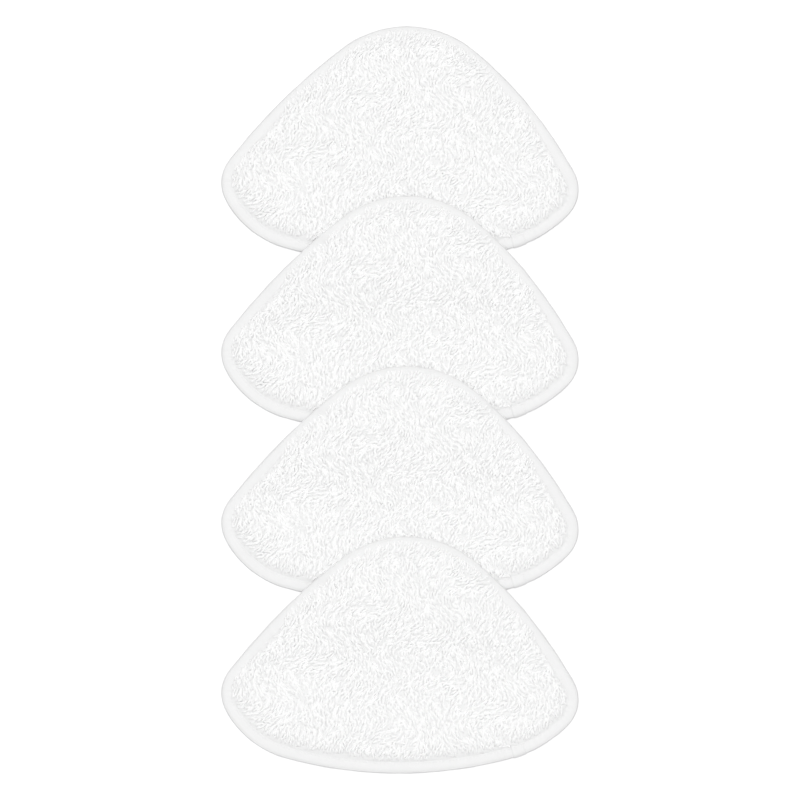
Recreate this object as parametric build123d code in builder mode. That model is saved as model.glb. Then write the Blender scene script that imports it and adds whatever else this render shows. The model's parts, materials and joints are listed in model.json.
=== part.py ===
from build123d import *
import os
from math import acos, atan2, cos, hypot, sin, sqrt

# A set of four rounded-triangle mop pads, laid in an overlapping column. Millimetres, +Z up.
# The origin is on the floor, under the middle of the whole column. Each pad points its apex
# along +Y. Pad 1 is the farthest and lies flat; every nearer pad climbs over the front edge
# of the pad behind it.

# ---- the column ----
pad_count = 4
pad_pitch = 147.5          # from one pad's front edge to the next one's
lie_gap = 0.3              # air between a pad and the one it lies on
climb_bend_radius = 160.0  # each of the two bends in a pad that climbs over its neighbour

# ---- one pad's outline, as a chain of tangent arcs ----
pad_width = 310.0
pad_depth = 206.0
apex_x = 6.0
apex_radius = 92.0
left_corner_radius = 32.0
left_corner_gap = 14.0         # between the corner's circle and the front arc, which the sweep takes up
right_corner_radius = 31.0
right_corner_gap = 8.3
left_sweep_radius = 84.0       # from the left corner into the front edge
right_sweep_radius = 107.0
front_radius = 368.0
front_x = -1.0                 # of the foremost point
left_side_radius = 520.0
right_side_radius = 360.0

# ---- layers, from the underside up ----
tape_thickness = 0.7
tape_flange_width = 10.0       # how far the folded tape reaches in over each face
backing_thickness = 0.8
core_thickness = 2.0
knit_thickness = 0.8
pile_height = 5.0              # above the knit that carries it

# ---- the lap where the tape's two ends meet ----
lap_length = 12.0
lap_x = 98.0                   # of the lap's left end, on the front edge
lap_thickness = 0.7

# ---- the seam ----
thread_diameter = 0.5
seam_inset = 8.6               # from the outline to the seam's middle

edge_height = 2 * tape_thickness + backing_thickness + core_thickness + knit_thickness
knit_top = edge_height - tape_thickness
pad_height = knit_top + pile_height
climb_height = pad_height + lie_gap
climb_end = pad_pitch + tape_flange_width   # level again where the pile below begins

assert climb_bend_radius > pad_height, "a bend must leave room for the pad's own thickness"
assert seam_inset + thread_diameter < tape_flange_width, "the seam must run through the tape"


def inner_centre(circle, small, radius, towards_x):
    """Centre of the arc of this radius that touches two circles from within: it lies inside
    the larger circle or around the smaller, on the side towards towards_x."""
    (ax, ay), ar = circle
    (bx, by), br = small
    reach_a, reach_b = abs(ar - radius), abs(br - radius)
    apart = hypot(bx - ax, by - ay)
    along = (reach_a**2 - reach_b**2 + apart**2) / (2 * apart)
    aside = sqrt(reach_a**2 - along**2)
    ux, uy = (bx - ax) / apart, (by - ay) / apart
    middle = (ax + along * ux, ay + along * uy)
    both = [(middle[0] - s * aside * uy, middle[1] + s * aside * ux) for s in (1, -1)]
    return min(both, key=lambda point: abs(point[0] - towards_x))


def corner_circle(x, radius, gap):
    """A side corner's circle, with its centre at this x, this far within the front arc."""
    reach = front_radius - radius - gap
    return ((x, front_radius - sqrt(reach**2 - (x - front_x) ** 2)), radius)


def outline_circles():
    """The outline's arcs as (centre, radius), anticlockwise from the front edge, for a pad
    whose foremost point is at y = 0."""
    front = ((front_x, front_radius), front_radius)
    left = corner_circle(left_corner_radius - pad_width / 2, left_corner_radius, left_corner_gap)
    right = corner_circle(pad_width / 2 - right_corner_radius, right_corner_radius, right_corner_gap)
    apex = ((apex_x, pad_depth - apex_radius), apex_radius)

    def between(a, b, radius, towards_x):
        return (inner_centre(a, b, radius, towards_x), radius)

    right_sweep = between(front, right, right_sweep_radius, 0)
    right_side = between(right, apex, right_side_radius, -pad_width)
    left_side = between(apex, left, left_side_radius, pad_width)
    left_sweep = between(front, left, left_sweep_radius, 0)
    return [front, right_sweep, right, right_side, apex, left_side, left, left_sweep]


def touch_point(one, other, inset):
    """Where two neighbouring arcs of the outline meet, this far in from the outline."""
    big, small = (one, other) if one[1] > other[1] else (other, one)
    (bx, by), (sx, sy) = big[0], small[0]
    reach = (big[1] - inset) / hypot(sx - bx, sy - by)
    return (bx + (sx - bx) * reach, by + (sy - by) * reach)


def outline_prism(front_y, inset, height):
    """The upright prism of one pad's outline, drawn in by inset."""
    arcs = outline_circles()
    joints = [touch_point(arcs[i - 1], arcs[i], inset) for i in range(len(arcs))]
    with BuildPart() as prism:
        with BuildSketch(Plane.XY.offset(-height)):
            with BuildLine():
                for i, (centre, radius) in enumerate(arcs):
                    start, end = joints[i], joints[(i + 1) % len(joints)]
                    chord_x = (start[0] + end[0]) / 2 - centre[0]
                    chord_y = (start[1] + end[1]) / 2 - centre[1]
                    reach = (radius - inset) / hypot(chord_x, chord_y)
                    middle = (centre[0] + chord_x * reach, centre[1] + chord_y * reach)
                    ThreePointArc(
                        (start[0], start[1] + front_y),
                        (middle[0], middle[1] + front_y),
                        (end[0], end[1] + front_y),
                    )
            make_face()
        extrude(amount=2 * height)
    return prism.part


def climb_profile(front_y, level):
    """Points and arc middles of a climbing pad's line at this height above its underside:
    flat on the floor, up through two equal bends, and flat again."""
    turn = acos(1 - climb_height / (2 * climb_bend_radius))
    half_run = climb_bend_radius * sin(turn)
    low_y = front_y + climb_end - 2 * half_run
    high_y = low_y + 2 * half_run
    low_r, high_r = climb_bend_radius - level, climb_bend_radius + level

    def low_bend(angle):
        return (low_y + low_r * sin(angle), climb_bend_radius - low_r * cos(angle))

    def high_bend(angle):
        crest = climb_height - climb_bend_radius
        return (high_y - high_r * sin(angle), crest + high_r * cos(angle))

    low = [(low_y, level), low_bend(turn / 2), low_bend(turn)]
    high = [high_bend(turn), high_bend(turn / 2), (high_y, climb_height + level)]
    return low, high


def slab(front_y, climbs, bottom, top):
    """The layer between two heights above a pad's underside, wider than the pad."""
    near, far = front_y - pad_depth, front_y + 2 * pad_depth
    with BuildPart() as layer:
        with BuildSketch(Plane.YZ.offset(-pad_width)):
            with BuildLine():
                if climbs:
                    low, high = climb_profile(front_y, bottom)
                    Line((near, bottom), low[0])
                    ThreePointArc(*low)
                    ThreePointArc(*high)
                    Line(high[2], (far, climb_height + bottom))
                    Line((far, climb_height + bottom), (far, climb_height + top))
                    low, high = climb_profile(front_y, top)
                    Line((far, climb_height + top), high[2])
                    ThreePointArc(*high[::-1])
                    ThreePointArc(*low[::-1])
                    Line(low[0], (near, top))
                    Line((near, top), (near, bottom))
                else:
                    Polyline((near, bottom), (far, bottom), (far, top), (near, top), close=True)
            make_face()
        extrude(amount=2 * pad_width)
    return layer.part


def sheet(front_y, climbs, inset, bottom, top):
    """One layer of a pad: its outline drawn in by inset, between two heights."""
    tall = 2 * (climb_height + pad_height)
    with BuildPart() as piece:
        add(outline_prism(front_y, inset, tall))
        add(slab(front_y, climbs, bottom, top), mode=Mode.INTERSECT)
    return piece.part


def ring(front_y, climbs, outer_inset, inner_inset, bottom, top):
    """A closed band of a layer, between two insets of the outline."""
    with BuildPart() as piece:
        add(sheet(front_y, climbs, outer_inset, bottom, top))
        add(sheet(front_y, climbs, inner_inset, bottom, top), mode=Mode.SUBTRACT)
    return piece.part


def front_edge_y(x):
    """How far behind the foremost point the outline's front lies at this x."""
    front, right_sweep = outline_circles()[:2]
    sweep_start = touch_point(front, right_sweep, 0)[0]
    (cx, cy), radius = right_sweep if x > sweep_start else front
    return cy - sqrt(radius**2 - (x - cx) ** 2)


def tape_lap(front_y):
    """The tape's end, lapped over its own start on the front edge at the right."""
    ends = [(x, front_edge_y(x)) for x in (lap_x, lap_x + lap_length)]
    slope = atan2(ends[1][1] - ends[0][1], ends[1][0] - ends[0][0])
    out_x, out_y = sin(slope) * lap_thickness, -cos(slope) * lap_thickness
    corners = [(ends[i][0], ends[i][1] + front_y) for i in (0, 1)]
    outer = [(x + out_x, y + out_y) for x, y in corners]
    buried = [(x - 2 * out_x, y - 2 * out_y) for x, y in corners]
    with BuildPart() as lap:
        with BuildSketch(Plane.XY):
            with BuildLine():
                Polyline(buried[0], outer[0], outer[1], buried[1], close=True)
            make_face()
        extrude(amount=edge_height)
        add(sheet(front_y, False, tape_thickness, 0, edge_height), mode=Mode.SUBTRACT)
    return lap.part


def thread_ring(front_y, climbs, bottom):
    """One thread of the seam, lying in the tape all the way round."""
    outer, inner = seam_inset - thread_diameter / 2, seam_inset + thread_diameter / 2
    return ring(front_y, climbs, outer, inner, bottom, bottom + thread_diameter)


def write_node(part, name):
    part.label = name
    export_step(part, f"parts/{name}.step")


def make_pad(number, front_y, climbs):
    backing_top = tape_thickness + backing_thickness
    core_top = backing_top + core_thickness
    name = f"pad_{number}"

    # The under thread lies in the tape's lower face and the upper thread in its upper face.
    needle_bottom = edge_height - thread_diameter
    with BuildPart() as needle_thread:
        add(thread_ring(front_y, climbs, needle_bottom))
    with BuildPart() as bobbin_thread:
        add(thread_ring(front_y, climbs, 0))

    # The brushed loops fill the opening in the tape, level with its underside.
    with BuildPart() as loop_backing:
        add(sheet(front_y, climbs, tape_thickness, tape_thickness, backing_top))
        add(sheet(front_y, climbs, tape_flange_width, 0, tape_thickness))

    with BuildPart() as absorbent_core:
        add(sheet(front_y, climbs, tape_thickness, backing_top, core_top))

    # The knit reaches under the tape; its pile stands up inside the tape's opening.
    with BuildPart() as pile_face:
        add(sheet(front_y, climbs, tape_thickness, core_top, knit_top))
        add(sheet(front_y, climbs, tape_flange_width, knit_top, pad_height))

    # The tape is folded round the rim: two flanges and the wall between them.
    with BuildPart() as edge_binding:
        add(ring(front_y, climbs, 0, tape_flange_width, 0, edge_height))
        add(sheet(front_y, climbs, tape_thickness, tape_thickness, knit_top), mode=Mode.SUBTRACT)
        add(tape_lap(front_y))
        add(needle_thread.part, mode=Mode.SUBTRACT)
        add(bobbin_thread.part, mode=Mode.SUBTRACT)

    write_node(loop_backing.part, f"{name}_loop_backing")
    write_node(absorbent_core.part, f"{name}_absorbent_core")
    write_node(pile_face.part, f"{name}_pile_face")
    write_node(edge_binding.part, f"{name}_edge_binding")
    write_node(needle_thread.part, f"{name}_needle_thread")
    write_node(bobbin_thread.part, f"{name}_bobbin_thread")


os.makedirs("parts", exist_ok=True)
column_length = pad_depth + (pad_count - 1) * pad_pitch
for index in range(pad_count):
    pad_front = column_length / 2 - pad_depth - index * pad_pitch
    make_pad(index + 1, pad_front, climbs=index > 0)
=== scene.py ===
import json
import math
import bpy
import numpy as np
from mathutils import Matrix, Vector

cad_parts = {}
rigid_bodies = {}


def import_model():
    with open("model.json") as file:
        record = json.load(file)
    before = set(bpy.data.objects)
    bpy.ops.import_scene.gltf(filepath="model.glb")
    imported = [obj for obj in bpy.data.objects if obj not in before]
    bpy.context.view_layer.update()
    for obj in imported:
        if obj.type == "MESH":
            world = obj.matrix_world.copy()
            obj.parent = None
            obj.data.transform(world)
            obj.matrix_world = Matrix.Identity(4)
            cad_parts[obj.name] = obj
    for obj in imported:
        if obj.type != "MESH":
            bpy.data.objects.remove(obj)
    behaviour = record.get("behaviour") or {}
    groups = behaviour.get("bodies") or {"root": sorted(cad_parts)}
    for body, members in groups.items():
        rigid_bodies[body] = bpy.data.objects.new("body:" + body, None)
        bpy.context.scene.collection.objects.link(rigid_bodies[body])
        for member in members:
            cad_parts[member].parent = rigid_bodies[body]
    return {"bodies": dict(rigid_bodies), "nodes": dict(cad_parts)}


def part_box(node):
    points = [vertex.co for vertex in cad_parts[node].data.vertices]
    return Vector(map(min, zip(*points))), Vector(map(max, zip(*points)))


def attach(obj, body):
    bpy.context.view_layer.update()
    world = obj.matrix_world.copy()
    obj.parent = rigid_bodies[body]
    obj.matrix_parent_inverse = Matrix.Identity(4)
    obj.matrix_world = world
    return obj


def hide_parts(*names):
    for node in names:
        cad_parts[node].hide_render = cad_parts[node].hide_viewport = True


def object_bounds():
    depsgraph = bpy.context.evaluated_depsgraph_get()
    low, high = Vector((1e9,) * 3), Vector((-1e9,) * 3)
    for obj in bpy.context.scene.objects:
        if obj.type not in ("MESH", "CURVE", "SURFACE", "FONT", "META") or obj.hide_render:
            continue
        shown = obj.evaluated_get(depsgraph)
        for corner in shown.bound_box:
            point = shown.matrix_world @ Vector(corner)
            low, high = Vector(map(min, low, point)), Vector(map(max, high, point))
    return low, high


# Four rounded-triangle mop pads in an overlapping column, pile side up. Everything that
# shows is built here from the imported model's outline and layer heights: lengths are in
# millimetres until a mesh is made, and a pad's own y starts at its front edge.

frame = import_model()
cad_low, cad_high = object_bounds()

MM = 0.001
PADS = sorted(frame["bodies"])

# ---- how the pads lie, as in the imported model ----
CLIMB_BEND_RADIUS = 160.0
TAPE_FLANGE_WIDTH = 10.0
SEAM_INSET = 8.6
LAP_X, LAP_LENGTH = 98.0, 12.0

# ---- fabric details ----
RIM_STEP = 0.65           # along the outline, between the tape's cross-sections
TAPE_THICKNESS = 0.6
STITCH_LENGTH = 3.1
THREAD_RADIUS = 0.24
GROUND_DEPTH = 2.2        # from the pile's tips down to the dense ground between strands
STRAND_ACROSS = 2.7       # between strands that lie side by side
STRAND_ALONG = 3.0        # between one row of strands and the next
STRAND_RADIUS = 1.03
STRAND_LENGTH = 6.2
STRAND_RINGS = 9
STRAND_SIDES = 7
SHOULDER = 11.0           # from where the pile begins to its full height
SOFT_RIM = 34.0           # how far in from the outline a pad gives way or settles
PILE_SEED = 11
PATCH_NAMES = ("left", "middle_left", "middle_right", "right")
GRID_STEP = 1.5           # of the coarse grid that inset_of reads


def low_high(node):
    """A CAD node's lowest and highest corners in millimetres."""
    low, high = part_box(node)
    return np.array(low) / MM, np.array(high) / MM


def node_points(node):
    mesh = frame["nodes"][node].data
    points = np.empty(len(mesh.vertices) * 3, np.float32)
    mesh.vertices.foreach_get("co", points)
    return points.reshape(-1, 3).astype(float) / MM


# ---------------------------------------------------------------- the pad's outline

def smooth_loop(points, step):
    """A closed smooth line through the points, at even steps."""
    after = np.roll(points, -1, axis=0)
    gap = np.linalg.norm(after - points, axis=1)
    slope = (after - points) / gap[:, None]
    gap_before, slope_before = np.roll(gap, 1), np.roll(slope, 1, axis=0)
    share = gap_before / (gap_before + gap)
    tangent = slope_before * (1 - share)[:, None] + slope * share[:, None]
    steps_each = 24
    t = np.linspace(0, 1, steps_each, endpoint=False)[None, :, None]
    p0, p1 = points[:, None], after[:, None]
    m0 = tangent[:, None] * gap[:, None, None]
    m1 = np.roll(tangent, -1, axis=0)[:, None] * gap[:, None, None]
    dense = (
        (2 * t**3 - 3 * t**2 + 1) * p0
        + (t**3 - 2 * t**2 + t) * m0
        + (3 * t**2 - 2 * t**3) * p1
        + (t**3 - t**2) * m1
    ).reshape(-1, 2)
    closed = np.vstack([dense, dense[:1]])
    run = np.concatenate([[0], np.cumsum(np.linalg.norm(np.diff(closed, axis=0), axis=1))])
    count = int(round(run[-1] / step))
    at = np.linspace(0, run[-1], count, endpoint=False)
    return np.stack([np.interp(at, run, closed[:, k]) for k in (0, 1)], axis=1), run[-1]


def outward(loop):
    """Unit normals of an anticlockwise closed line."""
    along = np.roll(loop, -1, axis=0) - np.roll(loop, 1, axis=0)
    along /= np.linalg.norm(along, axis=1)[:, None]
    return np.stack([along[:, 1], -along[:, 0]], axis=1)


def pad_outline():
    """The outline of a pad with its front edge at y = 0, from the flat pad's core, which
    lies one tape's thickness inside it."""
    core = node_points("pad_1_absorbent_core")[:, :2]
    inside = low_high("pad_1_absorbent_core")[0][0] - low_high("pad_1_edge_binding")[0][0]
    middle = (core.min(axis=0) + core.max(axis=0)) / 2
    angle = np.arctan2(core[:, 1] - middle[1], core[:, 0] - middle[0])
    order = np.unique(np.round(angle, 4), return_index=True)[1]
    loop, length = smooth_loop(core[order], RIM_STEP)
    loop = loop + outward(loop) * inside
    loop[:, 1] -= low_high("pad_1_edge_binding")[0][1]
    return loop, length + 2 * math.pi * inside


def from_the_lap(loop):
    """The same line, begun under the middle of the tape's lap, where its ends meet."""
    gap = np.abs(loop[:, 0] - LAP_X - LAP_LENGTH / 2) + (loop[:, 1] > loop[:, 1].max() / 2) * 1e3
    return np.roll(loop, -int(gap.argmin()), axis=0)


RIM, RIM_LENGTH = pad_outline()
RIM = from_the_lap(RIM)
RIM_OUT = outward(RIM)
RIM_RUN = np.linspace(0, RIM_LENGTH, len(RIM), endpoint=False)
MIDDLE = np.array([0.0, 84.0])

EDGE_HEIGHT = low_high("pad_1_edge_binding")[1][2]
CORE_BOTTOM, CORE_TOP = (low_high("pad_1_absorbent_core")[k][2] for k in (0, 1))
PAD_HEIGHT = low_high("pad_1_pile_face")[1][2]
CLIMB_HEIGHT = low_high("pad_2_pile_face")[1][2] - PAD_HEIGHT
FRONTS = [low_high(f"{pad}_edge_binding")[0][1] for pad in PADS]
CLIMB_END = FRONTS[0] - FRONTS[1] + TAPE_FLANGE_WIDTH


def soft_step(t):
    """0 to 1 as t goes from 0 to 1, level at both ends."""
    return t * t * (3 - 2 * t)


def nearest_rim(points):
    """The nearest rim step to each point, and how far off it is."""
    nearest, away = np.empty(len(points), int), np.empty(len(points))
    block = 4000
    for i in range(0, len(points), block):
        gaps = np.linalg.norm(points[i : i + block, None, :2] - RIM[None], axis=2)
        nearest[i : i + block] = gaps.argmin(axis=1)
        away[i : i + block] = gaps.min(axis=1)
    return nearest, away


def inset_grid():
    """How far each point of a coarse grid lies in from the outline, below 0 outside it."""
    low, high = RIM.min(axis=0) - 6, RIM.max(axis=0) + 6
    xs, ys = (np.arange(low[k], high[k] + GRID_STEP, GRID_STEP) for k in (0, 1))
    grid = np.stack(np.meshgrid(xs, ys, indexing="ij"), axis=-1).reshape(-1, 2)
    nearest, away = nearest_rim(grid)
    outside = ((grid - RIM[nearest]) * RIM_OUT[nearest]).sum(axis=1) > 0
    return low, np.where(outside, -away, away).reshape(len(xs), len(ys))


GRID_LOW, GRID_INSET = inset_grid()


def inset_of(points):
    """How far each point of a pad lies in from the outline."""
    place = (points[:, :2] - GRID_LOW) / GRID_STEP
    place = np.clip(place, 0, np.array(GRID_INSET.shape) - 1.001)
    i, j = place.astype(int).T
    u, v = (place - np.floor(place)).T
    g = GRID_INSET
    near = g[i, j] * (1 - v) + g[i, j + 1] * v
    far = g[i + 1, j] * (1 - v) + g[i + 1, j + 1] * v
    return near * (1 - u) + far * u


def round_the_rim(degrees_and_values, points):
    """A value that changes smoothly round the pad, from a few set by their bearing."""
    bearing = np.degrees(np.arctan2(points[:, 1] - MIDDLE[1], points[:, 0] - MIDDLE[0]))
    known = sorted(degrees_and_values)
    angles = [known[-1][0] - 360] + [k[0] for k in known] + [known[0][0] + 360]
    values = np.array([known[-1][1]] + [k[1] for k in known] + [known[0][1]], float)
    place = np.clip(np.searchsorted(angles, bearing, side="right") - 1, 0, len(angles) - 2)
    low, high = np.array(angles)[place], np.array(angles)[place + 1]
    t = soft_step((bearing - low) / (high - low))
    return values[place] * (1 - t) + values[place + 1] * t


def waves(points, wavelengths, seed):
    """Smooth noise between about -1 and 1: a few plane waves of these lengths."""
    random = np.random.default_rng(seed)
    total = np.zeros(len(points))
    for length in wavelengths:
        bearing, phase = random.uniform(0, 2 * math.pi, 2)
        across = points[:, 0] * math.cos(bearing) + points[:, 1] * math.sin(bearing)
        total += np.sin(2 * math.pi * across / length + phase)
    return total / math.sqrt(len(wavelengths))


# ---------------------------------------------------------------- laying a pad down

def free_edge_lift(points):
    """How far the free rim curls off the floor, which it does most at the side corners."""
    lift = [(-90, 0.0), (-40, 0.6), (-15, 1.7), (30, 0.3), (90, 0.0), (150, 0.2), (188, 1.5), (220, 0.4)]
    edge = np.clip(1 - inset_of(points) / 42.0, 0, 1)
    ripple = 1 + 0.35 * waves(points, (38, 61, 90), 5)
    return round_the_rim([((a + 180) % 360 - 180, v) for a, v in lift], points) * edge**2 * ripple


def rim_sag(points, height):
    """How far a climbing pad's soft rim sinks where the pad below it ends."""
    below = points[:, :2] + (0, FRONTS[1] - FRONTS[0])
    t = np.clip((inset_of(below) - 6.0) / 14.0, 0, 1)
    near_rim = np.clip(1 - inset_of(points) / SOFT_RIM, 0, 1)
    return 0.42 * height * (1 - soft_step(t)) * near_rim * (2 - near_rim)


def lay(points, pad):
    """Points of a flat pad, moved to where this pad lies."""
    index = PADS.index(pad)
    x, y, z = points.T
    height, slope = np.zeros(len(points)), np.zeros(len(points))
    if index > 0:
        turn = math.acos(1 - CLIMB_HEIGHT / (2 * CLIMB_BEND_RADIUS))
        half_run = CLIMB_BEND_RADIUS * math.sin(turn)
        start, crest = CLIMB_END - 2 * half_run, CLIMB_END
        rising, settling = y - start, crest - y
        low = (rising > 0) & (rising <= half_run)
        high = (settling > 0) & (settling < half_run)
        arc_low = np.sqrt(CLIMB_BEND_RADIUS**2 - np.where(low, rising, 0) ** 2)
        arc_high = np.sqrt(CLIMB_BEND_RADIUS**2 - np.where(high, settling, 0) ** 2)
        height = np.where(low, CLIMB_BEND_RADIUS - arc_low, 0)
        height = np.where(high, CLIMB_HEIGHT - CLIMB_BEND_RADIUS + arc_high, height)
        height = np.where(settling <= 0, CLIMB_HEIGHT, height)
        slope = np.where(low, np.arcsin(np.where(low, rising, 0) / CLIMB_BEND_RADIUS), 0)
        slope = np.where(high, np.arcsin(np.where(high, settling, 0) / CLIMB_BEND_RADIUS), slope)
        height = height - rim_sag(points, height)
    laid = np.stack([x, y - z * np.sin(slope), height + z * np.cos(slope)], axis=1)
    laid[:, 2] += free_edge_lift(points)
    laid[:, 1] += FRONTS[index]
    return laid


# ---------------------------------------------------------------- meshes

def make_piece(name, points, quads, triangles, material, marks=None, places=None):
    """A smooth-shaded mesh object from points in millimetres. marks are values at each point
    for the material to read, and places a UV map, named OFBake, at each corner."""
    mesh = bpy.data.meshes.new(name)
    corners = np.concatenate([quads.ravel(), triangles.ravel()]).astype(np.int32)
    starts = np.concatenate(
        [np.arange(len(quads)) * 4, len(quads) * 4 + np.arange(len(triangles)) * 3]
    ).astype(np.int32)
    mesh.vertices.add(len(points))
    mesh.vertices.foreach_set("co", (points * MM).astype(np.float32).ravel())
    mesh.loops.add(len(corners))
    mesh.loops.foreach_set("vertex_index", corners)
    mesh.polygons.add(len(starts))
    mesh.polygons.foreach_set("loop_start", starts)
    mesh.polygons.foreach_set("use_smooth", np.ones(len(starts), bool))
    for mark, values in (marks or {}).items():
        made = mesh.attributes.new(mark, "FLOAT_VECTOR", "POINT")
        made.data.foreach_set("vector", values.astype(np.float32).ravel())
    if places is not None:
        mesh.uv_layers.new(name="OFBake").uv.foreach_set("vector", places.astype(np.float32).ravel())
    mesh.update(calc_edges=True)
    mesh.materials.append(material)
    piece = bpy.data.objects.new(name, mesh)
    bpy.context.scene.collection.objects.link(piece)
    return piece


def no_triangles():
    return np.zeros((0, 3), int)


def loop_quads(count, width, closed_width):
    """Quads between neighbouring cross-sections of a closed run, each of width points."""
    section = np.arange(count)[:, None]
    point = np.arange(width if closed_width else width - 1)[None]
    after, beside = (section + 1) % count, (point + 1) % width
    corners = [
        section * width + point, after * width + point,
        after * width + beside, section * width + beside,
    ]
    return np.stack([np.broadcast_to(c, (count, point.shape[1])) for c in corners], axis=-1).reshape(-1, 4)


def layer_piece(name, pad, inset, bottom, top, material, rings=46, along=2.6):
    """A closed layer of a pad with a rounded rim. bottom and top give heights from points."""
    every = max(1, int(round(along / RIM_STEP)))
    rim, out = RIM[::every], RIM_OUT[::every]
    count = len(rim)
    edge = rim - out * inset
    share = np.linspace(1, 0, rings + 1)[:-1] ** 0.9
    flat = MIDDLE + (edge[None] - MIDDLE) * share[:, None, None]
    flat = flat.reshape(-1, 2)
    upper = np.column_stack([flat, top(flat)])
    lower = np.column_stack([flat, bottom(flat)])
    middle = (upper[:count] + lower[:count]) / 2
    half = (upper[:count, 2] - lower[:count, 2]) / 2
    belly = middle.copy()
    belly[:, :2] += out * (half * 0.9)[:, None]
    peak = np.array([[*MIDDLE, 0.0]])
    high, low = peak.copy(), peak.copy()
    high[0, 2], low[0, 2] = top(peak[:, :2])[0], bottom(peak[:, :2])[0]
    points = np.vstack([upper, lower, belly, high, low])
    ring, step = np.arange(rings - 1)[:, None], np.arange(count)[None]
    beside = (step + 1) % count
    inner = (ring + 1) * count

    def face(a, b, c, d):
        shape = np.broadcast(a, b, c, d).shape
        return np.stack([np.broadcast_to(v, shape) for v in (a, b, c, d)], axis=-1).reshape(-1, 4)

    top_faces = face(ring * count + step, ring * count + beside, inner + beside, inner + step)
    under = top_faces[:, ::-1] + rings * count
    step, beside = np.arange(count), (np.arange(count) + 1) % count
    belly_at, lower_at = 2 * rings * count, rings * count
    rim_faces = np.vstack([
        face(belly_at + step, belly_at + beside, beside, step),
        face(lower_at + step, lower_at + beside, belly_at + beside, belly_at + step),
    ])
    last = (rings - 1) * count
    peak_at = belly_at + count
    caps = np.vstack([
        np.stack([last + step, last + beside, np.full(count, peak_at)], axis=1),
        np.stack([lower_at + last + beside, lower_at + last + step, np.full(count, peak_at + 1)], axis=1),
    ])
    return make_piece(name, lay(points, pad), np.vstack([top_faces, under, rim_faces]), caps, material)


# ---- the folded tape ----

def tape_profile():
    """The tape's outer face as (inset, height), from the top flange's inner edge round the
    rim to the under flange's inner edge."""
    top = EDGE_HEIGHT
    return np.array([
        (TAPE_FLANGE_WIDTH, top - 0.35), (TAPE_FLANGE_WIDTH - 0.6, top - 0.30), (SEAM_INSET, top - 0.32),
        (7.6, top - 0.12), (6.0, top + 0.02), (4.4, top - 0.04), (3.0, top - 0.24), (1.9, top - 0.66),
        (1.1, top - 1.25), (0.5, top - 1.95), (0.12, top - 2.5), (0.0, top / 2 - 0.3), (0.1, 1.5),
        (0.45, 0.95), (1.1, 0.5), (2.0, 0.18), (3.2, 0.04), (5.0, 0.0), (7.4, 0.02),
        (SEAM_INSET, 0.14), (TAPE_FLANGE_WIDTH, 0.0),
    ])


def profile_normals(profile):
    along = np.gradient(profile, axis=0)
    along /= np.linalg.norm(along, axis=1)[:, None]
    return np.stack([along[:, 1], -along[:, 0]], axis=1)


def rim_bend():
    """How sharply the outline bends at each rim step, from 0 to 1."""
    turn = RIM_OUT[:, 0] * np.roll(RIM_OUT[:, 1], -6) - RIM_OUT[:, 1] * np.roll(RIM_OUT[:, 0], -6)
    return np.clip(turn / turn.max(), 0, 1)


def tape_face(lifted):
    """The tape's outer face at every rim step, lifted off itself by this much, as an array
    of rim steps by profile points, with the ease and gathers that sewing round a bend gives."""
    profile = tape_profile()
    profile = profile + profile_normals(profile) * lifted
    inset = np.broadcast_to(profile[None, :, 0], (len(RIM), len(profile)))
    height = np.broadcast_to(profile[None, :, 1], (len(RIM), len(profile))).copy()
    reach = np.clip(inset / TAPE_FLANGE_WIDTH, 0, 1)
    upper = np.clip(height / EDGE_HEIGHT - 0.5, 0, 0.5) * 2
    stitch = np.cos(2 * math.pi * RIM_RUN / STITCH_LENGTH)[:, None]
    line = np.column_stack([RIM_RUN, np.zeros(len(RIM))])
    fine = waves(line, (2.7, 3.3, 4.3), 2)[:, None]
    drift = waves(line, (5.3, 7.9, 11.7), 3)[:, None]
    slow = waves(line, (23, 41, 67), 4)[:, None]
    bend = rim_bend()[:, None]
    near_seam = np.exp(-(((inset - SEAM_INSET) / 1.3) ** 2))
    height += upper * ((0.08 + 0.22 * bend) * drift * reach**1.5 + 0.06 * slow)
    height += upper * ((0.04 + 0.12 * bend) * fine * reach**0.7 + 0.05 * stitch * near_seam)
    inset = inset - (0.06 * drift + 0.12 * slow) * (1 - reach)
    flat = RIM[:, None] - RIM_OUT[:, None] * inset[..., None]
    return np.concatenate([flat, height[..., None]], axis=2)


def tape_marks(runs, width):
    """Marks for a tape section: how far round the rim and how far across the tape it is."""
    steps = np.linalg.norm(np.diff(tape_profile(), axis=0), axis=1)
    across = np.concatenate([[0], np.cumsum(steps)])[: width // 2]
    across = np.concatenate([across, across[::-1]])
    marks = np.zeros((len(runs), width, 3))
    marks[..., 0], marks[..., 1] = runs[:, None], across[None]
    return {"tape": marks.reshape(-1, 3)}


def tape_piece(name, pad, material):
    """The whole tape: its outer face and, one thickness in, its inner face."""
    outer, inner = tape_face(0), tape_face(-TAPE_THICKNESS)
    section = np.concatenate([outer, inner[:, ::-1]], axis=1)
    width = section.shape[1]
    quads = loop_quads(len(RIM), width, True)[:, ::-1]
    marks = tape_marks(RIM_RUN, width)
    return make_piece(name, lay(section.reshape(-1, 3), pad), quads, no_triangles(), material, marks)


def lap_steps():
    """The rim steps that the tape's lapped end covers, in order along the front edge."""
    half = int(round(LAP_LENGTH / 2 / RIM_STEP))
    return np.arange(-half, half + 1) % len(RIM)


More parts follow.
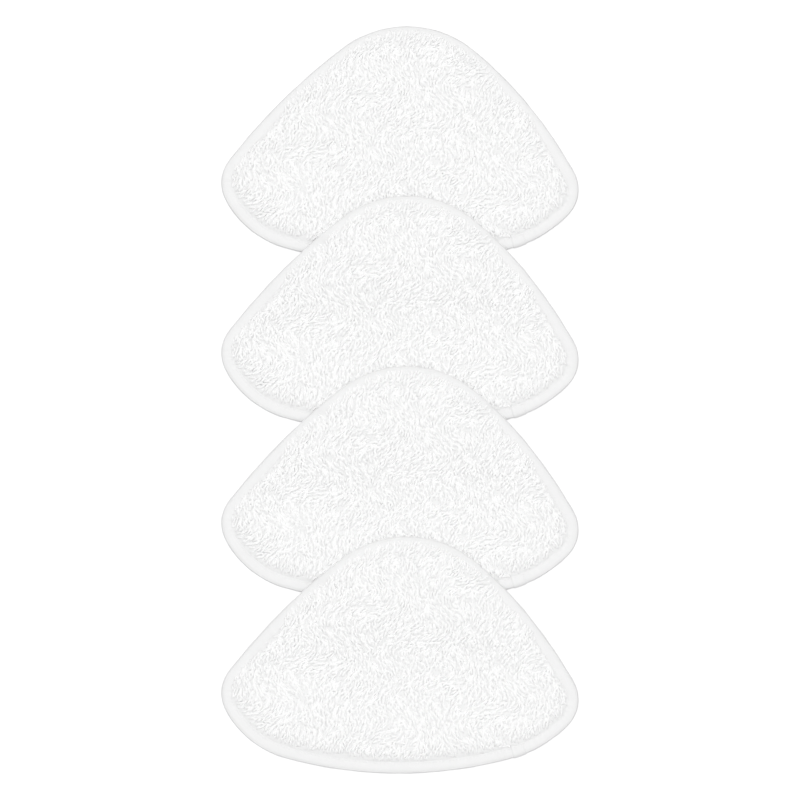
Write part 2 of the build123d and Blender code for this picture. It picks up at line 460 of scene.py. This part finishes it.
def lap_piece(name, pad, material):
    """The tape's end, lapped over its start: a short strip on top of it and down its edge."""
    steps = lap_steps()
    last_point = 14
    raise_by = 0.62 * np.ones(len(steps))
    raise_by[[0, -1]] = 0.25
    raise_by[[1, -2]] = 0.52
    base, lifted = tape_face(0)[steps, :last_point], tape_face(1.0)[steps, :last_point]
    taper = np.ones(last_point)
    taper[[0, -1]] = 0.3
    thick = raise_by[:, None, None] * taper[None, :, None]
    outer = base + (lifted - base) * thick
    inner = base + (lifted - base) * -0.1
    section = np.concatenate([outer, inner[:, ::-1]], axis=1)
    width = section.shape[1]
    quads = loop_quads(len(steps), width, True)[: (len(steps) - 1) * width, ::-1]
    cap = np.arange(last_point - 1)
    end = np.stack([cap, cap + 1, width - 2 - cap, width - 1 - cap], axis=1)
    quads = np.vstack([quads, end[:, ::-1], end + (len(steps) - 1) * width])
    marks = tape_marks(np.arange(len(steps)) * RIM_STEP, width)
    return make_piece(name, lay(section.reshape(-1, 3), pad), quads, no_triangles(), material, marks)


# ---- tubes: stitches and pile strands ----

def tubes(paths, radii, sides, side_ways):
    """Closed tubes along paths (tube, point, 3) with a radius at each point. side_ways is a
    level direction across each path at each point. Gives the points, quads and triangles,
    a mark at each point (its place round the tube, and how far along it is), and a map that
    gives each tube its own cell."""
    count, rings, _ = paths.shape
    along = np.gradient(paths, axis=1)
    along /= np.linalg.norm(along, axis=2)[..., None]
    across = side_ways - along * (side_ways * along).sum(axis=2)[..., None]
    across /= np.linalg.norm(across, axis=2)[..., None]
    up = np.cross(along, across)
    angle = np.linspace(0, 2 * math.pi, sides, endpoint=False)
    ring = across[:, :, None] * np.cos(angle)[:, None] + up[:, :, None] * np.sin(angle)[:, None]
    shell = paths[:, :, None] + ring * radii[:, :, None, None]
    tip = paths[:, -1:] + along[:, -1:] * radii[:, -1:, None] * 0.8
    root = paths[:, :1] - along[:, :1] * radii[:, :1, None] * 0.3
    points = np.concatenate([shell.reshape(count, -1, 3), tip, root], axis=1)

    run = np.cumsum(np.linalg.norm(np.diff(paths, axis=1, prepend=paths[:, :1]), axis=2), axis=1)
    round_it = np.broadcast_to(np.stack([np.cos(angle), np.sin(angle)], axis=1), (count, rings, sides, 2))
    run_there = np.broadcast_to(run[:, :, None, None], (count, rings, sides, 1))
    marks = np.concatenate([round_it, run_there], axis=3).reshape(count, -1, 3)
    ends = np.zeros((count, 2, 3))
    ends[:, 0, 2] = run[:, -1]
    marks = np.concatenate([marks, ends], axis=1)

    each = rings * sides + 2
    first = (np.arange(count) * each)[:, None, None]
    r, s = np.arange(rings - 1)[:, None], np.arange(sides)[None]
    after = (s + 1) % sides
    ring, next_ring = r * sides, (r + 1) * sides
    quads = np.stack([ring + s, ring + after, next_ring + after, next_ring + s], axis=-1)
    u, v = np.broadcast_arrays(s / sides, (r + 1) / (rings + 1))
    du, dv = 1 / sides, 1 / (rings + 1)
    quad_map = np.stack([u, v, u + du, v, u + du, v + dv, u, v + dv], axis=-1).reshape(-1, 4, 2)
    s, after = np.arange(sides), (np.arange(sides) + 1) % sides
    last = (rings - 1) * sides
    top = np.stack([last + s, last + after, np.full(sides, rings * sides)], axis=-1)
    foot = np.stack([after, s, np.full(sides, rings * sides + 1)], axis=-1)
    u, full = s / sides, np.ones(sides)
    top_map = np.stack([u, full - dv, u + du, full - dv, u + du / 2, full], axis=-1).reshape(-1, 3, 2)
    foot_map = np.stack([u + du, full * dv, u, full * dv, u + du / 2, full * 0], axis=-1).reshape(-1, 3, 2)
    quads = first + quads.reshape(1, -1, 4)
    triangles = first + np.concatenate([top, foot])[None]

    cells = math.ceil(math.sqrt(count))
    cell = np.stack(np.divmod(np.arange(count), cells), axis=1)[:, None, None, :]
    spots = [
        ((cell + 0.05 + 0.9 * part[None]) / cells).reshape(-1, 2)
        for part in (quad_map, np.concatenate([top_map, foot_map]))
    ]
    return (
        points.reshape(-1, 3), quads.reshape(-1, 4), triangles.reshape(-1, 3),
        marks.reshape(-1, 3), np.concatenate(spots),
    )


def stitches_piece(name, pad, upper, material):
    """One face's row of lockstitches: each dives into the tape at both ends."""
    count = int(round(RIM_LENGTH / STITCH_LENGTH))
    along = np.linspace(0, 1, 6)
    bulge = np.array([-0.55, -0.02, 0.12, 0.12, -0.02, -0.55])
    at = (np.arange(count)[:, None] + 0.06 + 0.88 * along[None]) * len(RIM) / count
    base, next_one = np.floor(at).astype(int) % len(RIM), (np.floor(at).astype(int) + 1) % len(RIM)
    part = (at % 1)[..., None]
    face = tape_face(0)
    column = 2 if upper else -2
    place = face[base, column] * (1 - part) + face[next_one, column] * part
    normal = np.pad(RIM_OUT[base] * (1 - part) + RIM_OUT[next_one] * part, ((0, 0), (0, 0), (0, 1)))
    sway = 0.07 * np.array([1, 0.6, 0.2, -0.2, -0.6, -1])
    paths = place + normal * sway[None, :, None]
    paths[..., 2] += bulge if upper else np.maximum(-bulge, -0.02) + THREAD_RADIUS * 0.8
    if upper:
        on_lap = np.isin(base, lap_steps())
        paths[..., 2] += 0.6 * on_lap
    radii = np.full((count, 6), THREAD_RADIUS)
    points, quads, triangles, marks, places = tubes(paths, radii, 6, normal)
    return make_piece(name, lay(points, pad), quads, triangles, material, {"strand": marks}, places)


def pile_start(points):
    """How far in from the outline the pile begins, round the pad: over the tape at the apex
    and the upper sides, and behind it along the front."""
    start = [
        (-160, 10.6), (-140, 11.4), (-122, 12.0), (-105, 10.4), (-90, 10.2), (-60, 11.0), (-38, 9.8),
        (-15, 9.4), (5, 9.6), (20, 7.8), (35, 8.4), (52, 6.4), (70, 7.4), (92, 6.0), (112, 6.6),
        (130, 8.2), (148, 6.8), (164, 9.4), (180, 8.6),
    ]
    return round_the_rim(start, points)


def rise(points):
    """From 0 where the pile begins, over a soft shoulder, to 1 farther in."""
    t = np.clip((inset_of(points) - pile_start(points)) / SHOULDER, 0, 1)
    return t * (2 - t)


def settled(points):
    """How much lower the pile lies near the rim, mostly along the front edge. pile_patches also darkens
    the strands by it, as painted shade.
    """
    drop = [(-90, 1.0), (-35, 0.5), (0, 0.2), (60, 0.0), (120, 0.0), (170, 0.4), (-145, 0.8)]
    return round_the_rim(drop, points) * np.clip(1 - inset_of(points) / SOFT_RIM, 0, 1) ** 1.5


def pile_crest(points):
    """The height of the strands' backs."""
    low = EDGE_HEIGHT + 1.2
    return low + (PAD_HEIGHT - 0.05 - settled(points) - low) * rise(points)


def ground_height(points):
    """The top of the dense ground that the strands stand in. It dips under the tape."""
    inset, start = inset_of(points), pile_start(points)
    under_tape, beside_tape = EDGE_HEIGHT - 0.85, EDGE_HEIGHT - 0.15
    out_of_tape = np.clip((inset - np.minimum(start, TAPE_FLANGE_WIDTH) + 0.5) / 0.7, 0, 1)
    low = under_tape + (beside_tape - under_tape) * out_of_tape
    in_pile = np.clip((inset - start + 0.3) / 1.5, 0, 1)
    depth = 0.8 + (GROUND_DEPTH - 0.8) * rise(points)
    return low + (pile_crest(points) - depth - low) * in_pile + 0.04 * waves(points, (9, 13, 21), 9)


def strand_ceiling(points, radii):
    """How high the middle of a strand this thick may lie: down on the tape outside the
    pile's start, and just under the crest inside it."""
    t = soft_step(np.clip((inset_of(points) - pile_start(points) + 1.2) / 2.4, 0, 1))
    on_tape = EDGE_HEIGHT + 0.5 * radii
    return on_tape + (pile_crest(points) - radii - on_tape) * t


def strand_roots(random):
    """Where the pile strands leave the knit: jittered, staggered rows inside the tape."""
    low, high = RIM.min(axis=0), RIM.max(axis=0)
    xs = np.arange(low[0], high[0], STRAND_ACROSS)
    ys = np.arange(low[1], high[1], STRAND_ALONG)
    grid = np.array([(x + (j % 2) * STRAND_ACROSS / 2, y) for j, y in enumerate(ys) for x in xs])
    grid += random.normal(0, 0.11, grid.shape) * (STRAND_ACROSS, STRAND_ALONG)
    roots = grid[inset_of(grid) > pile_start(grid) + 0.6]
    nearest, inset = nearest_rim(roots)
    return roots, inset, nearest


def pile_heading(points):
    """Which way the pile is combed: towards the apex, with bends from place to place."""
    bend = 0.60 * waves(points, (38, 53, 71), 21) + 0.22 * waves(points, (14, 18, 25, 31), 22)
    return math.pi / 2 - 0.2 + bend


def strand_headings(random, roots, nearest, edge):
    """The bearing each strand lies along. A few lie the other way. Beside the rim they turn
    out over the tape where the pile covers it, and inwards elsewhere."""
    heading = pile_heading(roots) + random.normal(0, 0.32, len(roots))
    backwards = waves(roots, (17, 23, 29), 25) + random.normal(0, 0.35, len(roots)) > 1.3
    heading += math.pi * backwards
    out = np.arctan2(RIM_OUT[nearest, 1], RIM_OUT[nearest, 0])
    outwards = np.clip((TAPE_FLANGE_WIDTH - 0.4 - pile_start(roots)) / 2.0, 0, 1)
    turn = (out - heading + math.pi) % (2 * math.pi) - math.pi
    turn_in = (out + math.pi - heading + math.pi) % (2 * math.pi) - math.pi
    return heading + edge * (0.7 * turn * outwards + 0.6 * turn_in * (1 - outwards))


def pile_paths(random):
    """The paths and radii of one pad's strands, and the level direction across each. A strand
    rises steeply from its root, arches over and comes down a little at its tip."""
    roots, inset, nearest = strand_roots(random)
    count, rings = len(roots), STRAND_RINGS
    edge = np.clip(1 - (inset - pile_start(roots)) / 6.0, 0, 1)
    heading = strand_headings(random, roots, nearest, edge)
    length = STRAND_LENGTH * random.normal(1, 0.14, count).clip(0.6, 1.4) * (1 - 0.25 * edge)
    curl = random.normal(0, 0.75, count)
    start_lean = np.radians(random.normal(57, 8, count))
    end_lean = np.radians(random.normal(-16, 9, count))
    t = np.linspace(0, 1, rings)
    middle = (t[1:] + t[:-1]) / 2
    lean = start_lean[:, None] + (end_lean - start_lean)[:, None] * middle[None] ** 0.65
    bearing = heading[:, None] + curl[:, None] * (middle[None] - 0.4)
    step = (length / (rings - 1))[:, None]
    moves = np.stack([
        step * np.cos(lean) * np.cos(bearing),
        step * np.cos(lean) * np.sin(bearing),
        step * np.sin(lean),
    ], axis=2)
    paths = np.concatenate([np.zeros((count, 1, 3)), np.cumsum(moves, axis=1)], axis=1)
    paths[..., :2] += roots[:, None]
    thick = STRAND_RADIUS * random.normal(1, 0.08, count).clip(0.8, 1.2) * (1 - 0.2 * edge)
    thick *= 1 - 0.14 * settled(roots)
    shape = np.array([0.8, 0.92, 1.0, 1.0, 1.0, 1.0, 0.96, 0.82, 0.52])
    radii = thick[:, None] * shape[None]
    base = ground_height(roots) - 0.9
    crest = paths[..., 2].max(axis=1)
    uneven = 0.35 * (1 + settled(roots))
    reach = PAD_HEIGHT - STRAND_RADIUS - 0.05 - np.abs(random.normal(0, uneven)) - base
    paths[..., 2] = base[:, None] + np.maximum(paths[..., 2] * (reach / crest)[:, None], -0.2)
    ceiling = strand_ceiling(paths.reshape(-1, 3), radii.ravel()).reshape(count, rings)
    paths[..., 2] = np.minimum(paths[..., 2], ceiling)
    bearings = np.concatenate([bearing[:, :1], bearing], axis=1)
    side_ways = np.stack([-np.sin(bearings), np.cos(bearings), np.zeros_like(bearings)], axis=2)
    return paths, radii, side_ways


def pile_patches():
    """The pile of one flat pad in patches, left to right, each as tubes gives it, with each
    strand's tone: painted shade a little darker towards its root and along the front rim, and random tone
    so that no two are quite alike."""
    random = np.random.default_rng(PILE_SEED)
    paths, radii, side_ways = pile_paths(random)
    # painted shade: strands along the front rim, where the pile settles, a little darker; the rest of the
    # spread is random tone
    tones_and_painted_front_shade = 1 - np.abs(random.normal(0, 0.006, len(paths))) - 0.012 * settled(paths[:, 0])
    # painted shade in the hollows: each strand darker towards its root
    painted_root_shade = np.array([0.88, 0.9, 0.94, 0.975, 1, 1, 1, 1, 0.985])
    patches = []
    for part in np.array_split(paths[:, 0, 0].argsort(), len(PATCH_NAMES)):
        points, quads, triangles, marks, places = tubes(
            paths[part], radii[part], STRAND_SIDES, side_ways[part]
        )
        shell = np.repeat(painted_root_shade, STRAND_SIDES)
        each = np.concatenate([shell, [painted_root_shade[-1], painted_root_shade[0]]])
        tone_and_painted_shade = (tones_and_painted_front_shade[part, None] * each[None]).ravel()[:, None].repeat(3, axis=1)
        patches.append((points, quads, triangles, {"strand": marks, "tone_and_painted_shade": tone_and_painted_shade}, places))
    return patches


# ---------------------------------------------------------------- materials

def new_material(name, roughness, sheen, gloss=0.2, colour=(0.9, 0.9, 0.9, 1)):
    material = bpy.data.materials.new(name)
    material.use_nodes = True
    shader = material.node_tree.nodes["Principled BSDF"]
    shader.inputs["Base Color"].default_value = colour
    shader.inputs["Roughness"].default_value = roughness
    shader.inputs["Specular IOR Level"].default_value = gloss
    shader.inputs["Sheen Weight"].default_value = sheen
    shader.inputs["Sheen Roughness"].default_value = 0.6
    material.diffuse_color = colour
    return material, material.node_tree, shader


def position(tree, scale):
    """The object's own coordinates, in millimetres times scale."""
    coordinates = tree.nodes.new("ShaderNodeTexCoord")
    mapping = tree.nodes.new("ShaderNodeMapping")
    mapping.inputs["Scale"].default_value = [s / MM for s in scale]
    tree.links.new(coordinates.outputs["Object"], mapping.inputs["Vector"])
    return mapping.outputs["Vector"]


def noise(tree, vector, scale, detail=2.0):
    node = tree.nodes.new("ShaderNodeTexNoise")
    node.inputs["Scale"].default_value = scale
    node.inputs["Detail"].default_value = detail
    tree.links.new(vector, node.inputs["Vector"])
    return node.outputs["Fac"]


def ramp(tree, fac, stops):
    node = tree.nodes.new("ShaderNodeValToRGB")
    elements = node.color_ramp.elements
    for element, (place, value) in zip(elements, stops, strict=True):
        element.position = place
        element.color = (value, value, value, 1)
    tree.links.new(fac, node.inputs["Fac"])
    return node.outputs["Color"]


def bump(tree, shader, height, strength, distance):
    node = tree.nodes.new("ShaderNodeBump")
    node.inputs["Strength"].default_value = strength
    node.inputs["Distance"].default_value = distance * MM
    tree.links.new(height, node.inputs["Height"])
    tree.links.new(node.outputs["Normal"], shader.inputs["Normal"])


def wave(tree, vector, scale, distortion, direction):
    node = tree.nodes.new("ShaderNodeTexWave")
    node.bands_direction = direction
    node.inputs["Scale"].default_value = scale
    node.inputs["Distortion"].default_value = distortion
    node.inputs["Detail"].default_value = 2.0
    tree.links.new(vector, node.inputs["Vector"])
    return node.outputs["Fac"]


def mark(tree, name):
    """The values that a mesh carries at its points under this name, as x, y and z."""
    read = tree.nodes.new("ShaderNodeAttribute")
    read.attribute_name = name
    split = tree.nodes.new("ShaderNodeSeparateXYZ")
    tree.links.new(read.outputs["Vector"], split.inputs["Vector"])
    return split.outputs["X"], split.outputs["Y"], split.outputs["Z"]


def math_node(tree, operation, *values):
    node = tree.nodes.new("ShaderNodeMath")
    node.operation = operation
    for socket, value in zip(node.inputs, values):
        if isinstance(value, (int, float)):
            socket.default_value = value
        else:
            tree.links.new(value, socket)
    return node.outputs["Value"]


def ripple(tree, run, pitch, turns=None):
    """A smooth rise and fall from 0 to 1 every pitch along run, turned by an angle."""
    phase = math_node(tree, "MULTIPLY", run, 2 * math.pi / pitch)
    if turns is not None:
        phase = math_node(tree, "ADD", phase, turns)
    return math_node(tree, "MULTIPLY_ADD", math_node(tree, "SINE", phase), 0.5, 0.5)


def ply_twist(tree, plies, pitch):
    """The ridges of a twisted yarn's plies, from the marks of its tube."""
    x, y, run = mark(tree, "strand")
    turned = math_node(tree, "MULTIPLY", math_node(tree, "ARCTAN2", y, x), plies)
    return ripple(tree, run, pitch / plies, turned)


def pile_material():
    """Twisted microfibre: near-white strands with soft plies and fine fibres."""
    material, tree, shader = new_material("microfibre_pile", 0.9, 0.06)
    near = position(tree, (1, 1, 1))
    patches = math_node(tree, "MULTIPLY_ADD", noise(tree, near, 0.25), 0.016, 0.98)
    # the tone mark holds random tone and painted shade, at the strands' roots and along the front rim
    tone_and_painted_shade = math_node(tree, "MULTIPLY", patches, mark(tree, "tone_and_painted_shade")[0])
    tree.links.new(tone_and_painted_shade, shader.inputs["Base Color"])
    fibres = math_node(tree, "MULTIPLY", noise(tree, near, 3.2, 3.0), 0.5)
    relief = math_node(tree, "ADD", math_node(tree, "MULTIPLY", ply_twist(tree, 2, 4.2), 0.8), fibres)
    bump(tree, shader, relief, 0.28, 0.25)
    return material


def tape_material():
    """Smooth warp-knit tape: fine ribs across it and fainter lines along it."""
    material, tree, shader = new_material("binding_tape", 0.78, 0.02, 0.05)
    near = position(tree, (1, 1, 1))
    run, across, _ = mark(tree, "tape")
    ribs = math_node(tree, "MULTIPLY", ripple(tree, run, 0.9), ripple(tree, across, 1.1))
    uneven = math_node(tree, "MULTIPLY_ADD", noise(tree, near, 0.11), 0.03, 0.865)
    shade = math_node(tree, "MULTIPLY_ADD", ribs, 0.012, uneven)
    tree.links.new(shade, shader.inputs["Base Color"])
    bump(tree, shader, ribs, 0.45, 0.1)
    return material


def loop_material():
    """Brushed loop cloth: rows of loops under a soft nap."""
    material, tree, shader = new_material("loop_cloth", 0.88, 0.3)
    near = position(tree, (1, 1, 1))
    rows = math_node(tree, "MULTIPLY", wave(tree, near, 0.42, 3.0, "X"), noise(tree, near, 1.6, 3.0))
    tree.links.new(ramp(tree, rows, [(0.1, 0.80), (0.7, 0.88)]), shader.inputs["Base Color"])
    bump(tree, shader, rows, 0.8, 0.4)
    return material


def knit_material():
    """The ground knit between the strands."""
    material, tree, shader = new_material("ground_knit", 0.85, 0.05)
    near = position(tree, (1, 1, 1))
    stitch = math_node(tree, "MULTIPLY", wave(tree, near, 0.6, 0.8, "X"), wave(tree, near, 0.6, 0.8, "Y"))
    tree.links.new(ramp(tree, stitch, [(0.1, 0.895), (0.8, 0.93)]), shader.inputs["Base Color"])
    bump(tree, shader, stitch, 0.6, 0.15)
    return material


def wadding_material():
    """Needled polyester wadding."""
    material, tree, shader = new_material("wadding", 0.95, 0.1)
    near = position(tree, (1, 1, 0.4))
    fibres = noise(tree, near, 1.1, 6.0)
    tree.links.new(ramp(tree, fibres, [(0.3, 0.78), (0.7, 0.86)]), shader.inputs["Base Color"])
    bump(tree, shader, fibres, 0.9, 0.5)
    return material


def thread_material():
    """Twisted three-ply polyester sewing thread."""
    material, tree, shader = new_material("sewing_thread", 0.55, 0.1)
    twist = ply_twist(tree, 3, 1.8)
    tree.links.new(math_node(tree, "MULTIPLY_ADD", twist, 0.04, 0.86), shader.inputs["Base Color"])
    bump(tree, shader, twist, 0.6, 0.08)
    return material


PILE, TAPE, LOOPS = pile_material(), tape_material(), loop_material()
KNIT, WADDING, THREAD = knit_material(), wadding_material(), thread_material()


# ---------------------------------------------------------------- one pad

def level(height, unevenness=0.0, seed=1):
    """A layer's face at this height, with a little unevenness."""
    def heights(points):
        return height + unevenness * waves(points, (9, 13, 21), seed)
    return heights


def make_pad(pad, patches):
    """One pad's pieces, with the body each rides on, the node it replaces and its cloth."""

    core_faces = level(CORE_BOTTOM + 0.03, 0.02, 7), level(CORE_TOP - 0.03, 0.05, 8)
    core = layer_piece(f"{pad}_core", pad, 1.3, *core_faces, WADDING)
    cloth_faces = level(CORE_TOP + 0.08), ground_height
    cloth = layer_piece(f"{pad}_pile_cloth", pad, 0.95, *cloth_faces, KNIT, rings=70, along=2.0)

    def backing_bottom(points):
        opening = np.clip((inset_of(points) - TAPE_FLANGE_WIDTH + 0.2) / 1.2, 0, 1)
        return 0.66 - opening * (0.56 - 0.03 * waves(points, (3.1, 4.3, 6.1), 12))

    backing_faces = backing_bottom, level(CORE_BOTTOM - 0.03, 0.02, 7)
    backing = layer_piece(f"{pad}_backing", pad, 0.95, *backing_faces, LOOPS, rings=84, along=1.95)
    tape = tape_piece(f"{pad}_binding", pad, TAPE)
    lap = lap_piece(f"{pad}_binding_lap", pad, TAPE)
    needle = stitches_piece(f"{pad}_needle_stitches", pad, True, THREAD)
    bobbin = stitches_piece(f"{pad}_bobbin_stitches", pad, False, THREAD)
    strands = [
        make_piece(f"{pad}_pile_{side}", lay(points, pad), quads, triangles, PILE, marks, places)
        for side, (points, quads, triangles, marks, places) in zip(PATCH_NAMES, patches, strict=True)
    ]

    for piece, node, slot in (
        (core, "absorbent_core", "wadding"),
        (cloth, "pile_face", "microfibre_pile"),
        (backing, "loop_backing", "loop_cloth"),
        (tape, "edge_binding", "binding_tape"),
        (lap, "edge_binding", "binding_tape"),
        (needle, "needle_thread", "sewing_thread"),
        (bobbin, "bobbin_thread", "sewing_thread"),
        *((patch, "pile_face", "microfibre_pile") for patch in strands),
    ):
        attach(piece, pad)
        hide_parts(f"{pad}_{node}")


patches = pile_patches()
for pad in PADS:
    make_pad(pad, patches)


# ---------------------------------------------------------------- floor, light and camera

def plain_floor():
    """A pale floor with four tall walls far off, so that no view shows a grey horizon."""
    material = bpy.data.materials.new("studio_floor")
    material.use_nodes = True
    shader = material.node_tree.nodes["Principled BSDF"]
    shader.inputs["Base Color"].default_value = (0.3, 0.3, 0.3, 1)
    shader.inputs["Roughness"].default_value = 1.0
    shader.inputs["Specular IOR Level"].default_value = 0.0
    shader.inputs["Emission Color"].default_value = (1, 1, 1, 1)
    shader.inputs["Emission Strength"].default_value = 0.8
    half, wall = 6.0, 8.0
    corners = [(-half, -half), (half, -half), (half, half), (-half, half)]
    points = [(x, y, z) for z in (0, wall) for x, y in corners]
    walls = [(k, k + 4, (k + 1) % 4 + 4, (k + 1) % 4) for k in range(4)]
    mesh = bpy.data.meshes.new("floor")
    mesh.from_pydata(points, [], [(0, 1, 2, 3), *walls])
    mesh.materials.append(material)
    floor = bpy.data.objects.new("floor", mesh)
    floor.location.z = cad_low[2] - 0.02 * MM
    floor.visible_diffuse = False
    floor.visible_shadow = False
    bpy.context.scene.collection.objects.link(floor)


def soft_light():
    """An even sky, dimmer towards the horizon, and one very soft sun that leans in from the far end."""
    world = bpy.data.worlds.new("studio")
    bpy.context.scene.world = world
    world.use_nodes = True
    tree = world.node_tree
    background = tree.nodes["Background"]
    background.inputs["Strength"].default_value = 0.855
    direction = tree.nodes.new("ShaderNodeTexCoord")
    split = tree.nodes.new("ShaderNodeSeparateXYZ")
    tree.links.new(direction.outputs["Generated"], split.inputs["Vector"])
    shade = ramp(tree, split.outputs["Z"], [(0.0, 0.48), (0.7, 1.0)])
    tree.links.new(shade, background.inputs["Color"])
    lamp = bpy.data.lights.new("softbox", "SUN")
    lamp.angle = math.radians(30)
    lamp.energy = 0.8
    light = bpy.data.objects.new("softbox", lamp)
    light.rotation_euler = (math.radians(-14), math.radians(-4), 0)
    bpy.context.scene.collection.objects.link(light)


def camera():
    """Straight above the column, far off with a long lens, as for a catalogue picture."""
    view_width = 0.6947
    lens = bpy.data.cameras.new("camera")
    lens.sensor_width = 36.0
    lens.lens = 200.0
    eye = bpy.data.objects.new("camera", lens)
    distance = view_width * lens.lens / lens.sensor_width
    eye.location = ((cad_low[0] + cad_high[0]) / 2, (cad_low[1] + cad_high[1]) / 2, distance)
    lens.clip_end = 50.0
    bpy.context.scene.collection.objects.link(eye)
    bpy.context.scene.camera = eye


plain_floor()
soft_light()
camera()
bpy.context.scene.view_settings.view_transform = "Standard"
bpy.context.scene.cycles.max_bounces = 16
bpy.context.scene.cycles.diffuse_bounces = 12    # white cloth passes light on many times
